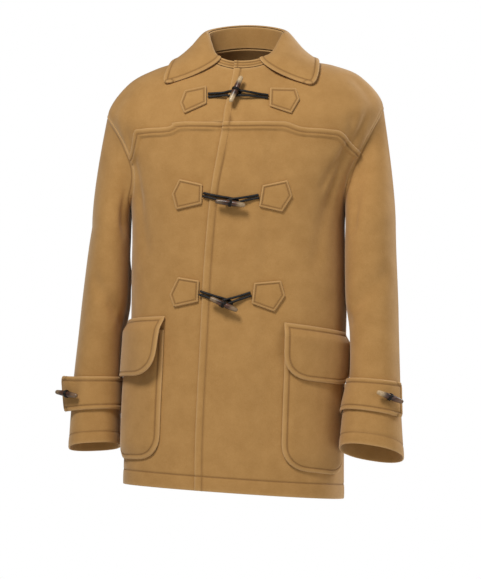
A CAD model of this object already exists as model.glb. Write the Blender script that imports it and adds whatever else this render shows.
"""Duffle coat in camel wool, hollow in its worn shape, with its finer cloth, sewing and finishes."""

import math

import bpy
import numpy as np
from bpy.props import FloatProperty, FloatVectorProperty, PointerProperty
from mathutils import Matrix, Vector


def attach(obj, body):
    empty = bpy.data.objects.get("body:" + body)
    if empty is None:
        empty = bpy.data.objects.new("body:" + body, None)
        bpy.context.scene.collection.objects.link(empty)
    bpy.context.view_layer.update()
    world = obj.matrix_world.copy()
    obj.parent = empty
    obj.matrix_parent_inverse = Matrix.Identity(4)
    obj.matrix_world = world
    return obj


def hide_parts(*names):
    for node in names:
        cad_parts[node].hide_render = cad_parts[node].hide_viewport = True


bl_info = {
    "name": "Duffle coat",
    "version": (1, 0, 0),
    "blender": (4, 5, 0),
    "location": "View3D > Sidebar > Coat",
    "description": "Builds a worn duffle coat in thick wool with toggles, pockets and cuff straps",
    "category": "Object",
}

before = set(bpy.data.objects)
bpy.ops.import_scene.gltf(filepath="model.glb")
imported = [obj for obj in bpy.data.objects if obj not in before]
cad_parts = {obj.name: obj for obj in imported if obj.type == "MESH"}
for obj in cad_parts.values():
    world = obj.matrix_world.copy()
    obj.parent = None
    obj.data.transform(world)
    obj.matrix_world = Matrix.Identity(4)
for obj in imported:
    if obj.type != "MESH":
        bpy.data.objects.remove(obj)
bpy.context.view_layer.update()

MM = 0.001

# ---------------------------------------------------------------- sizes of the coat, in millimetres
WALL = 2.5  # felted wool, one layer
DOUBLE_WALL = 3.4  # two layers stitched together
GAP = 0.4  # between pieces that meet at a seam
REST = 1.0  # under a piece that lies on a panel
LAP = 3.2  # how far a lapped edge stands over the piece below it
LAP_WIDTH = 9  # how far the yoke runs on under the fronts and the back
LAP_END = 11.5  # a lapped edge stays raised as far as this
LAP_FOOT = 17  # and lies on the body again from here
UNDERLAP = 36  # where the under front ends, hidden
LAP_FADE = 26  # the top front comes back down to the body in this width
TIP_LEVEL = 4  # ring at the shoulder tip
UNDERARM_LEVEL = 7  # ring at the underarm
SCOOP_FRONT = {"right": 30, "left": 17}  # degrees that the armholes are cut into the fronts
SCOOP_BACK = 24
CORNER_STEP = 5 / 11  # share of the armhole at which the yoke seam meets it
NECK_CORNER = {"front": 60, "back": 122}
COLLAR_END = {"right": 31, "left": 23}  # degrees from the middle of the front
COLLAR_SET = 1.2
CORD = 3.8
CORD_REST = 2.4
LOOP_START = 2.4
TOGGLE_LENGTH = 52
TOGGLE_RADIUS = 5.2
TIE = 4
STITCH_EDGE = 7.5  # stitch line of tabs, straps, flaps, pockets and collar, from the edge


def table(text):
    """Columns of a short table: the first line names them and each other line is one row."""
    head, *lines = text.strip().splitlines()
    rows = [line.split() for line in lines]
    columns = {}
    for i, name in enumerate(head.split()):
        cells = [row[i] for row in rows]
        number = cells[0].lstrip("-").replace(".", "", 1).isdigit()
        columns[name] = np.array(cells, float) if number else cells
    return columns


def each(rows):
    """The rows of a table, one dictionary each."""
    names = list(rows)
    return [{name: rows[name][i] for name in names} for i in range(len(rows[names[0]]))]


BODY = table("""
    frontZ  sideZ  backZ  half  front  back  centre  centreY  yaw  lean  square
    -31        -5      6    76     74    62      12        0  4.5     0     2.0
    -58       -16    -14   108     92    80      12        0  4.5     0     2.0
    -81       -27    -37   153    104    95      11        0  4.5     3     2.1
    -102      -50    -68   200    112   106      11        0  4.8     6     2.2
    -126     -100   -107   236    118   112      12        0  5.0     7     2.3
    -172     -158   -165   219    123   117       8        0  5.5     4     2.35
    -219     -213   -217   196    126   118       3        0  6.0     2     2.4
    -268     -268   -268   184    127   117       0        0  6.5     0     2.4
    -320     -320   -320   182    126   114       0        0  7.5    -2     2.4
    -376     -376   -376   184    125   112       1        0  9.0    -5     2.4
    -430     -430   -430   184.5    125   112       1        0  9.5    -8     2.4
    -485     -485   -485   184.5    126   114       0        0  9.5   -11     2.4
    -545     -545   -545   186    127   117      -2        0  9.3   -13     2.4
    -610     -610   -610   187.5    128   121      -5        0  9.0   -14     2.4
    -680     -680   -680   188    129   124      -8        0  8.5   -14     2.4
    -753     -752   -756   189    130   127      -9        0  8.0   -13     2.4""")
LAST_LEVEL = len(BODY["half"]) - 1

FRONT_EDGE = table("""
    z     across
    -20      -13
    -60      -18
    -111     -27
    -160     -31
    -240     -35
    -320     -39
    -430     -43
    -555     -46
    -760     -48""")
YOKE_SEAM = table("""
    across   z
    0     -122
    40    -122
    68    -123.5
    98    -131.5
    135   -134
    158   -136""")
BACK_YOKE_Z = -146

# nest is how far the inner front of a sleeve lies in towards the body
SLEEVE = {
    "right": table("""
        z   inner  outer  middle  depth  rise  lean  square  nest
        -300    -185.5 -251      32     70     0     0     2.3    -12
        -345    -186.5 -258      34     69     0     0     2.3    -14
        -425    -189.5 -268      38     66     0     0     2.3    -18
        -480    -199   -274      42     62     0     0     2.4    -20
        -560    -202   -283      44     58     3     0     2.5    -12
        -620    -203   -288      43     57     6     2     2.5     -6
        -677    -203   -292      42     57     8     2     2.5     -4"""),
    "left": table("""
        z   inner  outer  middle  depth  rise  lean  square  nest
        -300     184    269     -36     68     0     0     2.3    9
        -345     183    270     -40     67     0     0     2.3    9
        -425     184    273     -52     64     0     0     2.3    8
        -480     190    274     -63     60     2     0     2.3    5
        -560     189    276     -84     56     4     4     2.3    1
        -620     178    278     -97     55     9     8     2.3    0
        -686     171    282    -104     55    14     9     2.3    0"""),
}

# Folds of the body: the first rows are those of the solids, the others are the finer ones
BODY_FOLDS = table("""
    fromAngle  fromLevel  toAngle  toLevel  width  depth
    74         3.0        68       4.4      20     -4
    -72        3.3        -66      5.6      20     -3
    112        3.4        117      5.8      12     -6
    -113       3.5        -118     5.6      12     -6
    -60        6.6        -52      8.4      16     -3
    58         6.9        50       8.6      16     -3
    150        9.0        205      9.8      22     -4
    215        11.2       160      12.0     24     -3
    63         4.3        60       6.7      11     -5
    57         4.9        50       6.3      9      -3
    52         4.2        58       5.6      9      -3
    -55        4.6        -58      6.8      10     -3""")

SLEEVE_FOLDS = table("""
    side   fromTurn  fromDown  toTurn  toDown  width  depth
    right        95        95     130     200     13     -5
    right        60       290     120     345     16     -4
    right       100       330     150     362     13     -3
    right       230       120     205     250     16     -5
    right       215       300     265     345     16     -4
    left         92        95     125     200     13     -6
    left         55       280     125     335     17     -4
    left        105       325     155     360     13     -3
    left        235       110     205     240     16     -5
    left        212       300     262     350     16     -4""")

TABS = table("""
    name         x1   z1    x2   z2    x3    z3    x4   z4    x5   z5
    tab_right_1  -54  -61   -54  -91   -92  -108   -99  -90   -91  -69
    tab_left_1    53  -96    54  -65    98   -66   104  -84    90  -108
    tab_right_2  -61  -228  -62  -261  -105 -271  -112 -244  -100 -219
    tab_left_2    35  -266   41  -230   83  -221   91  -248    74 -275
    tab_right_3  -66  -392  -68  -428  -109 -437  -116 -416  -102 -386
    tab_left_3    23  -431   27  -396   72  -392   79  -418    61 -445""")
LOOPS = table("""
    name                fromX  fromZ  width   toX   toZ  tip  lift
    cord_loop_right_1   -54    -77    5.4     -1   -75   4.6  2.8
    cord_loop_left_1     53    -80    4.8     -6   -76   4.4  7.2
    cord_loop_right_2   -62    -245   5.4     -4   -258  4.6  2.6
    cord_loop_left_2     37    -248   5.0    -17   -259  4.4  7.0
    cord_loop_right_3   -67    -412   5.8    -15   -430  4.6  2.6
    cord_loop_left_3     24    -414   5.6    -27   -431  4.4  7.0""")
TOGGLES = table("""
    name       fromX  fromZ   toX   toZ   lift  paleFrom  paleTo
    toggle_1   8      -50     -14   -98   16.1  0.9       0.95
    toggle_2   -37    -257    13    -264  15.2  0.15      0.5
    toggle_3   -46    -421    2     -444  15.2  0.35      0.3""")

POCKET = {"top": -482, "bottom": -706, "corner": 44, "outer": 84, "proud": 4.2, "drop": 10}
POCKET_INNER = {"right": 110, "left": 99}
FLAP = {"top": -458, "drop": 12, "proud": 9, "widen": 2, "hinge": 0.24}
FLAP_HEIGHT = {"right": 106, "left": 93}
FLAP_CORNER = {"right": (8, 78), "left": (48, 48)}  # outer and inner corner
FLAP_OPEN = {"right": 22, "left": 0}  # how much further the inner edge of a flap stands off
PATCH_MM_PER_DEGREE = 2.45  # along the body behind the pockets

STRAPS = table("""
    side    topRow  bottomRow  seamTurn  endTurn  flareTop  flareBottom
    right   3.98    4.96       215       8        17        7
    left    4.06    5.06       215       26       2         2""")
CUFF_TOGGLES = table("""
    side    turn  row   tilt  paleFrom  paleTo
    right   36    4.46  7     0.2       0.3
    left    66    4.58  -20   0.9       0.15""")

# Flat size and flat area of the cut of each piece, in metres and square metres
CUTS = table("""
    piece              width  length  area
    shoulder_yoke      0.62   0.52    0.176
    back               0.52   0.63    0.294
    front_right        0.31   0.64    0.175
    front_left         0.31   0.64    0.185
    neckband           0.41   0.042   0.0138
    collar             0.42   0.11    0.036
    sleeve_right       0.42   0.61    0.167
    sleeve_left        0.42   0.61    0.174
    cuff_strap_right   0.20   0.062   0.0122
    cuff_strap_left    0.19   0.062   0.0114
    pocket_right       0.13   0.24    0.0293
    pocket_left        0.14   0.24    0.0325
    pocket_flap_right  0.137  0.12    0.0152
    pocket_flap_left   0.142  0.107   0.0143
    tab_right_1        0.052  0.048   0.0019
    tab_left_1         0.052  0.048   0.0022
    tab_right_2        0.056  0.052   0.0024
    tab_left_2         0.056  0.052   0.0024
    tab_right_3        0.056  0.052   0.0024
    tab_left_3         0.056  0.052   0.0025""")

COLLAR_REACH = {
    "right": table("""
        turn  level  angle
        0     1.15   180
        60    1.15   124
        95    1.22   95
        114   1.45   78
        128   1.72   66
        139   2.05   57
        149   2.38   50"""),
    "left": table("""
        turn  level  angle
        0     1.15   180
        60    1.17   124
        95    1.33   96
        114   1.5    80
        128   1.74   67
        143   2.08   55
        157   2.5    43.5"""),
}
ROLL = table("""
    turn   rise  lean
    0      37    3
    60     37    5
    90     33    12
    120    24    18
    142    13    9
    180    12    5""")


# ---------------------------------------------------------------- curves and places
def mix(a, b, t):
    return a + (b - a) * t


def smooth(value):
    t = np.clip(value, 0, 1)
    return t * t * (3 - 2 * t)


def side_name(side):
    return "left" if side > 0 else "right"


def along(rows, column, at):
    """Smooth curve through one column of a table, at a row number that may lie between rows."""
    values = rows[column]
    last = len(values) - 1
    at = np.clip(at, 0, last)
    i = np.minimum(np.floor(at).astype(int), last - 1)
    t = at - i
    a, b, c, d = (values[np.clip(i + k, 0, last)] for k in (-1, 0, 1, 2))
    curve = 2 * b + (c - a) * t + (2 * a - 5 * b + 4 * c - d) * t * t
    return 0.5 * (curve + (3 * b - a - 3 * c + d) * t**3)


def curve(rows, key, column, value):
    """Smooth curve through two columns of a table, the first of them rising or falling."""
    keys = rows[key]
    sign = 1 if keys[-1] > keys[0] else -1
    at = np.interp(sign * np.asarray(value, float), sign * keys, np.arange(len(keys)))
    return along(rows, column, at)


def signed_power(value, power):
    return np.sign(value) * np.abs(value) ** power


def unit(vectors):
    return vectors / np.maximum(np.linalg.norm(vectors, axis=-1, keepdims=True), 1e-9)


def fold_at(x, y, fold, a, b):
    """Trough or ridge: full along the line from a to b, fading to its ends and sides."""
    length = math.hypot(b[0] - a[0], b[1] - a[1])
    t = ((x - a[0]) * (b[0] - a[0]) + (y - a[1]) * (b[1] - a[1])) / length**2
    aside = ((x - a[0]) * (b[1] - a[1]) - (y - a[1]) * (b[0] - a[0])) / length
    ends = smooth((t + 0.25) * 3) * smooth((1.25 - t) * 3)
    return fold["depth"] * ends * np.exp(-((aside / fold["width"]) ** 2))


def ring_point(angle, level):
    """Point of a body ring: angle 0 is the middle of the front, 90 the left side."""
    angle, level = np.broadcast_arrays(np.asarray(angle, float), np.asarray(level, float))
    g = {name: along(BODY, name, level) for name in BODY}
    turn = np.radians(angle)
    power = 2 / g["square"]
    sine, cosine = np.sin(turn), np.cos(turn)
    wide = signed_power(sine, power)
    x = g["half"] * wide
    y = -np.where(cosine > 0, g["front"], g["back"]) * signed_power(cosine, power)
    end = np.where(cosine > 0, g["frontZ"], g["backZ"])
    z = g["sideZ"] + (end - g["sideZ"]) * cosine**2 + g["lean"] * wide
    yaw = np.radians(g["yaw"])
    across = g["centre"] + x * np.cos(yaw) + y * np.sin(yaw)
    depth = g["centreY"] - x * np.sin(yaw) + y * np.cos(yaw)
    return np.stack([across, depth, z], -1)


def ring_normal(angle, level):
    inside = np.clip(level, 0.02, LAST_LEVEL - 0.02)
    across = ring_point(angle + 1, inside) - ring_point(angle - 1, inside)
    down = ring_point(angle, inside + 0.02) - ring_point(angle, inside - 0.02)
    return unit(np.cross(down, across))


MM_PER_DEGREE = 2.6
MM_PER_LEVEL = 52


def body_fold(angle, level):
    """Depth of all the folds of the body at a place, with a slight unevenness of the cloth."""
    total = np.zeros(np.broadcast(angle, level).shape)
    for fold in each(BODY_FOLDS):
        middle = (fold["fromAngle"] + fold["toAngle"]) / 2
        near = angle + np.round((middle - angle) / 360) * 360
        a = (fold["fromAngle"] * MM_PER_DEGREE, fold["fromLevel"] * MM_PER_LEVEL)
        b = (fold["toAngle"] * MM_PER_DEGREE, fold["toLevel"] * MM_PER_LEVEL)
        total = total + fold_at(near * MM_PER_DEGREE, level * MM_PER_LEVEL, fold, a, b)
    turn = np.radians(angle)
    ripple = np.sin(5 * turn + 1.7 * level) + np.sin(9 * turn - 1.1 * level + 2)
    return total + 0.35 * ripple * smooth((level - 3) / 3)


def overlap_lift(angle, level):
    """How far the top front and its part of the yoke stand over the under front; 0 at the back."""
    turn = np.radians(angle)
    across = along(BODY, "half", level) * signed_power(np.sin(turn), 0.85)
    return LAP * (1 - smooth((across - UNDERLAP - 3) / LAP_FADE)) * (np.cos(turn) > 0)


def body_place(angle, level, lift=0.0):
    """Outer point of the body's cloth and its outward direction."""
    angle, level = np.broadcast_arrays(np.asarray(angle, float), np.asarray(level, float))
    normal = ring_normal(angle, level)
    out = lift + body_fold(angle, level)
    return ring_point(angle, level) + normal * np.asarray(out)[..., None], normal


def angle_across(across, level):
    half = along(BODY, "half", level)
    share = np.minimum(np.abs(across) / half, 1) ** (along(BODY, "square", level) / 2)
    return np.sign(across) * np.degrees(np.arcsin(share))


def across_at(angle, level):
    power = 2 / along(BODY, "square", level)
    return along(BODY, "half", level) * np.abs(np.sin(np.radians(angle))) ** power


def halve(low, high, beyond, rounds=24):
    """Value between low and high at which beyond(value) turns true, by halving."""
    for _ in range(rounds):
        middle = (low + high) / 2
        test = beyond(middle)
        low, high = np.where(test, low, middle), np.where(test, middle, high)
    return (low + high) / 2


def level_at(angle, z):
    """Level at which the rings pass through a height, at an angle."""
    shape = np.broadcast(angle, z).shape
    return halve(np.zeros(shape), np.full(shape, float(LAST_LEVEL)),
                 lambda level: ring_point(angle, level)[..., 2] <= z)


def on_front(x, z):
    """Angle and level of the place on the front that is seen at (x, z) from straight ahead."""
    shape = np.broadcast(x, z).shape
    angle = halve(np.full(shape, -89.0), np.full(shape, 89.0),
                  lambda a: ring_point(a, level_at(a, z))[..., 0] >= x, 20)
    return angle, level_at(angle, z)


def level_step(angle, level, length):
    step = ring_point(angle, level + 0.05) - ring_point(angle, level)
    return length * 0.05 / np.linalg.norm(step, axis=-1)


def angle_step(angle, level, length):
    return length / np.linalg.norm(ring_point(angle + 1, level) - ring_point(angle, level), axis=-1)


def scoop(side, face):
    return -SCOOP_FRONT[side_name(side)] if face == "front" else SCOOP_BACK


def armhole(side, share, face):
    """Angle and level of the armhole, from the shoulder tip (share 0) to the underarm (1)."""
    turn = np.pi * np.asarray(share, float)
    angle = side * (90 + scoop(side, face) * np.sin(turn))
    return angle, mix(TIP_LEVEL, UNDERARM_LEVEL, (1 - np.cos(turn)) / 2)


def armhole_angle(side, level, face="front"):
    share = np.clip((level - TIP_LEVEL) / (UNDERARM_LEVEL - TIP_LEVEL), 0, 1)
    return side * (90 + scoop(side, face) * np.sqrt(np.maximum(1 - (1 - 2 * share) ** 2, 0)))


def positions(length, features=(), widest=5.0):
    """Shares of a length in millimetres, 0.5 mm apart at the features and wider between them."""
    marks = np.array([0, length, *features], float)
    out = [0.0]
    while out[-1] < length:
        near = np.abs(marks - out[-1]).min()
        out.append(out[-1] + min(0.5 + 0.4 * near, widest))
    return np.array(out) / out[-1]


# ---------------------------------------------------------------- meshes
def new_mesh(name, points, *groups):
    """Mesh object from points in millimetres and one or more arrays of faces, turned outward."""
    p = points * MM
    volume = 0.0
    for faces in groups:
        for k in range(1, faces.shape[1] - 1):
            a, b, c = (p[faces[:, i]] for i in (0, k, k + 1))
            volume += (a * np.cross(b, c)).sum()
    if volume < 0:
        groups = [faces[:, ::-1] for faces in groups]
    loops = np.concatenate([faces.ravel() for faces in groups]).astype(np.int32)
    sizes = np.concatenate([np.full(len(faces), faces.shape[1]) for faces in groups])
    mesh = bpy.data.meshes.new(name)
    mesh.vertices.add(len(p))
    mesh.vertices.foreach_set("co", p.astype(np.float32).ravel())
    mesh.loops.add(len(loops))
    mesh.loops.foreach_set("vertex_index", loops)
    mesh.polygons.add(len(sizes))
    mesh.polygons.foreach_set("loop_start", (np.cumsum(sizes) - sizes).astype(np.int32))
    mesh.polygons.foreach_set("use_smooth", np.ones(len(sizes), bool))
    mesh.update(calc_edges=True)
    obj = bpy.data.objects.new(name, mesh)
    bpy.context.scene.collection.objects.link(obj)
    return obj


def mark(obj, name, values):
    """Stores one number a vertex for the material to read."""
    attribute = obj.data.attributes.new(name, "FLOAT", "POINT")
    attribute.data.foreach_set("value", np.asarray(values, np.float32).ravel())


def grid_faces(rows, columns, tube=False, first=0):
    """Quads of a grid of vertices, numbered row by row from first."""
    r = np.arange(rows - 1)[:, None]
    c = np.arange(columns if tube else columns - 1)[None, :]
    after = (c + 1) % columns
    quads = [r * columns + c, (r + 1) * columns + c, (r + 1) * columns + after, r * columns + after]
    quads = [np.broadcast_to(quad, (rows - 1, c.size)) for quad in quads]
    return first + np.stack(quads, -1).reshape(-1, 4)


def dense(line, step=1.0):
    """Points about one step apart along a line of points."""
    lengths = np.linalg.norm(np.diff(line, axis=0), axis=1)
    at = np.concatenate([[0], np.cumsum(lengths)])
    count = max(int(at[-1] / step), 2)
    where = np.linspace(0, at[-1], count)
    return np.stack([np.interp(where, at, line[:, k]) for k in range(3)], 1)


def distance_to(points, line):
    """Distance of each point to a line of points."""
    flat = points.reshape(-1, 3)
    line = dense(line)
    out = np.empty(len(flat))
    square = (line**2).sum(1)
    for start in range(0, len(flat), 4000):
        part = flat[start:start + 4000]
        gap = (part**2).sum(1)[:, None] + square[None] - 2 * part @ line.T
        out[start:start + 4000] = np.sqrt(np.maximum(gap.min(1), 0))
    return out.reshape(points.shape[:-1])


def grid_normals(grid, tube=False):
    """Directions square to a grid of points, from its neighbours down and across."""
    down = np.gradient(grid, axis=0)
    if tube:
        across = np.roll(grid, -1, axis=1) - np.roll(grid, 1, axis=1)
    else:
        across = np.gradient(grid, axis=1)
    return unit(np.cross(down, across))


def edge_drop(distance, thickness):
    """How far a rounded edge falls off, as a quarter circle of half the thickness."""
    radius = thickness / 2
    inside = radius - np.minimum(distance, radius)
    return radius - np.sqrt(np.maximum(radius**2 - inside**2, 0))


STITCHES = []  # lines of stitches: points, outward directions
FAR = 1e4  # stands for an edge that a place of the cloth only lies over


def stitch_line(points, normals):
    """Keeps a line of points for the stitches that are made at the end."""
    if len(points) > 2:
        STITCHES.append((points, normals))


def relief(distance, at, swell):
    """Sewn edge: the cloth swells between the edge and the stitch line and sinks under it."""
    groove = np.exp(-(((distance - at) / 1.3) ** 2))
    rise = np.sin(np.pi * np.clip(distance / at, 0, 1)) ** 0.7
    return swell * rise - 0.75 * groove, groove


def cloth(name, grid, normals, thickness, sewn=(), tube=False):
    """Closed cloth wall on a grid of outer points, with round edges and sewn lines.

    The inner face lies one thickness behind the outer one. Both close in on the middle of the
    wall at each edge, on a quarter circle. sewn holds (edge, distance, swell, stitches) rows,
    with edges top, bottom, first and last.
    """
    edges = {"top": grid[0], "bottom": grid[-1]}
    if not tube:
        edges.update(first=grid[:, 0], last=grid[:, -1])
    else:
        edges = {key: np.concatenate([line, line[:1]]) for key, line in edges.items()}
    gaps = {key: distance_to(grid, line) for key, line in edges.items()}
    if not tube:
        middle = grid.shape[1] // 2
        gaps["first"][:, middle:] = gaps["last"][:, :middle] = FAR
    nearest = np.min(list(gaps.values()), axis=0)
    drop = edge_drop(nearest, thickness)
    lift = np.zeros(nearest.shape)
    seam = np.zeros(nearest.shape)
    for edge, at, swell, _ in sewn:
        raised, groove = relief(gaps[edge], at, swell)
        lift += raised
        seam = np.maximum(seam, groove)
    outer = grid + normals * (lift - drop)[..., None]
    inner = grid + normals * (drop - thickness)[..., None]
    rows, columns = nearest.shape
    ids = np.arange(rows * columns).reshape(rows, columns)
    back = ids + rows * columns
    back[0], back[-1] = ids[0], ids[-1]
    if not tube:
        back[:, 0], back[:, -1] = ids[:, 0], ids[:, -1]
    faces = grid_faces(rows, columns, tube)
    points = np.concatenate([outer.reshape(-1, 3), inner.reshape(-1, 3)])
    faces = np.concatenate([faces, back.ravel()[faces][:, ::-1]])
    used, numbers = np.unique(faces, return_inverse=True)
    obj = new_mesh(name, points[used], numbers.reshape(-1, 4))
    rim = np.exp(-nearest / 1.8)
    mark(obj, "rim", np.concatenate([rim.ravel(), rim.ravel()])[used])
    mark(obj, "seam", np.concatenate([seam.ravel(), np.zeros(seam.size)])[used])
    for edge, at, _, stitched in sewn:
        if stitched:
            keep_stitches(outer, normals, gaps, edge, at, tube)
    return obj


def keep_stitches(outer, normals, gaps, edge, at, tube):
    """Line of the outer face at one distance from an edge, for the stitches."""
    axis = 0 if edge in ("top", "bottom") else 1
    far = gaps[edge]
    if axis == 1:
        outer, normals, far = outer.transpose(1, 0, 2), normals.transpose(1, 0, 2), far.T
    if edge in ("bottom", "last"):
        outer, normals, far = outer[::-1], normals[::-1], far[::-1]
    past = np.argmax(far > at, axis=0)
    ok = (far > at).any(0) & (past > 0)
    column = np.arange(far.shape[1])
    before = np.maximum(past - 1, 0)
    span = far[past, column] - far[before, column]
    t = np.clip((at - far[before, column]) / np.where(span > 0, span, 1), 0, 1)[:, None]
    line = mix(outer[before, column], outer[past, column], t)
    facing = mix(normals[before, column], normals[past, column], t)
    if tube and ok.all():
        line, facing = np.concatenate([line, line[:1]]), np.concatenate([facing, facing[:1]])
        ok = np.append(ok, True)
    stitch_line(line[ok], facing[ok])


def finish_piece(obj, material, nodes=()):
    """Rides on the coat's one body, takes its finish and stands for its CAD nodes."""
    if material not in bpy.data.materials:
        MATERIALS[material](material)
    obj.data.materials.append(bpy.data.materials[material])
    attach(obj, "root")
    if nodes:
        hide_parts(*nodes)
    return obj


def wool_piece(obj, node):
    """A cut piece of cloth that stands for a CAD node, with the size of its flat cut."""
    finish_piece(obj, "Felted wool", [node])
    return obj


# ---------------------------------------------------------------- body, yoke and back
SEAM_FROM, SEAM_PAST = 2, 0.5  # levels between which the yoke seam is looked for
TUCK = 1.2


def front_edge(level):
    """Distance of the top front's edge from the middle line of the front."""
    return curve(FRONT_EDGE, "z", "across", along(BODY, "frontZ", level))


def front_angle(side, u, level, outer):
    """Angle of a front at a share u of its width, from its free edge to its outer edge."""
    start = front_edge(level) if side > 0 else np.full(np.shape(level), float(UNDERLAP))
    return mix(angle_across(start, level), outer, u)


def front_seam(side, u):
    """Angle and level of the seam between the yoke and a front."""
    corner_angle, corner_level = armhole(side, CORNER_STEP, "front")
    corner_z = ring_point(corner_angle, corner_level)[..., 2]
    reach = across_at(corner_angle, corner_level)
    last = YOKE_SEAM["across"][-1]

    def above(level):
        angle = front_angle(side, u, level, corner_angle)
        across = across_at(angle, level)
        fall = np.clip((across - last) / (reach - last), 0, 1)
        seam_z = mix(curve(YOKE_SEAM, "across", "z", across), corner_z, fall**1.6)
        return ring_point(angle, level)[..., 2] <= seam_z

    shape = np.shape(u)
    low, high = np.full(shape, float(SEAM_FROM)), np.full(shape, corner_level + SEAM_PAST)
    level = halve(low, high, above)
    return front_angle(side, u, level, corner_angle), level


def side_edge(side, level, face):
    """Angle of the outer edge of a front or the back: the armhole and then the side seam."""
    gap = (-1 if face == "front" else 1) * angle_step(side * 90, level, GAP / 2)
    seam = side * (90 + gap)
    return np.where(level < UNDERARM_LEVEL, armhole_angle(side, level, face), seam)


def lap_lift(distance):
    """A lapped edge stands over the piece below it and then comes back down."""
    return LAP * (1 - smooth((distance - LAP_END) / (LAP_FOOT - LAP_END)))


def top_front_share(side, angle, level, past=0):
    """1 where a front laps the yoke, 0 where the right front is hidden by the left one."""
    if side > 0:
        return np.ones(np.shape(angle))
    across = np.sign(angle) * across_at(angle, level)
    return smooth((front_edge(level) - across - past) / 20)


def panel_levels(seam_level):
    """Levels of the rows of a front or the back: evenly from the seam to the underarm, then to
    the hem, closer together at the edges, the sewn lines and the underarm."""
    upper = positions(130, (8.0, 14.0))[:-1, None]
    lower = positions(480, (455.0,))[:, None] * np.ones(np.shape(seam_level))
    above = mix(seam_level, float(UNDERARM_LEVEL), upper)
    return np.concatenate([above, mix(float(UNDERARM_LEVEL), float(LAST_LEVEL), lower)])


def build_front(side):
    name = f"front_{side_name(side)}"
    u = positions(235, (12.0,))[None, :]
    _, seam_level = front_seam(side, u)
    level = panel_levels(seam_level)
    angle = front_angle(side, u, level, side_edge(side, level, "front"))
    over = overlap_lift(angle, level) if side > 0 else 0.0
    flat, _ = body_place(angle, level, over)
    lap = lap_lift(distance_to(flat, flat[0])) * top_front_share(side, angle, level)
    grid, normals = body_place(angle, level, over + lap)
    sewn = [("top", 8.0, 0.7, True), ("first", 12.0, 0.8, side > 0), ("bottom", 25.0, 0.5, True)]
    obj = cloth(f"{name}_cloth", grid, normals, WALL, sewn)
    return wool_piece(obj, name)


def back_seam_level(side, share):
    corner_angle, corner_level = armhole(side, CORNER_STEP, "back")
    corner_z = ring_point(corner_angle, corner_level)[..., 2]
    z = mix(float(BACK_YOKE_Z), corner_z, smooth((share - 0.72) / 0.28))
    return level_at(mix(side * 180, corner_angle, share), z)


def build_back():
    across = positions(430, (215.0,), 7.0) * 2 - 1
    halves = []
    for side, part in ((1, across[across <= 0]), (-1, across[across > 0])):
        share = np.abs(part)[None, :]
        level = panel_levels(back_seam_level(side, share))
        angle = mix(side * 180, side_edge(side, level, "back"), share)
        halves.append((angle if side > 0 else angle + 360, level))
    angle, level = (np.concatenate([half[k] for half in halves], 1) for k in (0, 1))
    flat, _ = body_place(angle, level)
    grid, normals = body_place(angle, level, lap_lift(distance_to(flat, flat[0])))
    sewn = [("top", 8.0, 0.7, True), ("bottom", 25.0, 0.5, True)]
    return wool_piece(cloth("back_cloth", grid, normals, WALL, sewn), "back")


def yoke_front(side, u, down):
    """Angle and level of the yoke over a front, at a share down from the neck to its edge."""
    seam_angle, seam_level = front_seam(side, u)
    laps = top_front_share(side, seam_angle, seam_level, 20)
    bottom = seam_level + level_step(seam_angle, seam_level, mix(-GAP, LAP_WIDTH, laps))
    _, corner_level = front_seam(side, np.ones((1, 1)))
    corner = armhole_angle(side, corner_level + level_step(seam_angle, corner_level, LAP_WIDTH))
    level = bottom * down
    outer = mix(side * NECK_CORNER["front"], corner - side * TUCK, down)
    return front_angle(side, u, level, outer), level


def yoke_round(side, k, down):
    """The same beside the armhole: k runs from 1 at the front corner to -1 at the back one."""
    faces = [armhole(side, np.abs(k) * CORNER_STEP, face) for face in ("front", "back")]
    edge_angle = np.where(k > 0, faces[0][0], faces[1][0])
    top = side * mix(NECK_CORNER["front"], NECK_CORNER["back"], (1 - k) / 2)
    power = mix(1.0, 1.3, smooth((1 - np.abs(k)) * 4))
    return mix(top, edge_angle, down**power), faces[0][1] * down


def yoke_back(side, share, down):
    seam_level = back_seam_level(side, share)
    corner_angle, corner_level = armhole(side, CORNER_STEP, "back")
    seam_angle = mix(side * 180, corner_angle, share)
    bottom = seam_level + level_step(seam_angle, seam_level, LAP_WIDTH)
    top = mix(side * 180, side * NECK_CORNER["back"], share)
    return mix(top, seam_angle + side * TUCK * share**8, down), bottom * down


def build_yoke():
    down = positions(170, (), 4.5)[:, None]
    parts = []
    for side in (1, -1):
        u = positions(170, (12.0,), 4.5)[None, :]
        k = np.linspace(1, -1, 62)[None, 1:-1]
        share = np.linspace(1, 0, 44)[None, :]
        runs = [yoke_front(side, u, down), yoke_round(side, k, down), yoke_back(side, share, down)]
        angle, level = (np.concatenate([np.broadcast_to(run[i], (len(down), run[i].shape[1]))
                                        for run in runs], 1) for i in (0, 1))
        lift = np.zeros(angle.shape)
        if side > 0:
            lift[:, :u.size] = overlap_lift(angle[:, :u.size], level[:, :u.size])
            parts.append((angle, level, lift))
        else:
            parts.append(((angle + 360)[:, -2::-1], level[:, -2::-1], lift[:, -2::-1]))
    angle, level, lift = (np.concatenate([part[i] for part in parts], 1) for i in (0, 1, 2))
    grid, normals = body_place(angle, level, lift)
    obj = cloth("shoulder_yoke_cloth", grid, normals, WALL, [("first", 12.0, 0.8, True)])
    return wool_piece(obj, "shoulder_yoke")


# ---------------------------------------------------------------- neckband and collar
def from_back(angle):
    """Degrees round the neck from the middle of the back."""
    return np.abs(np.abs((angle + 540) % 360 - 180) - 180)


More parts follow.
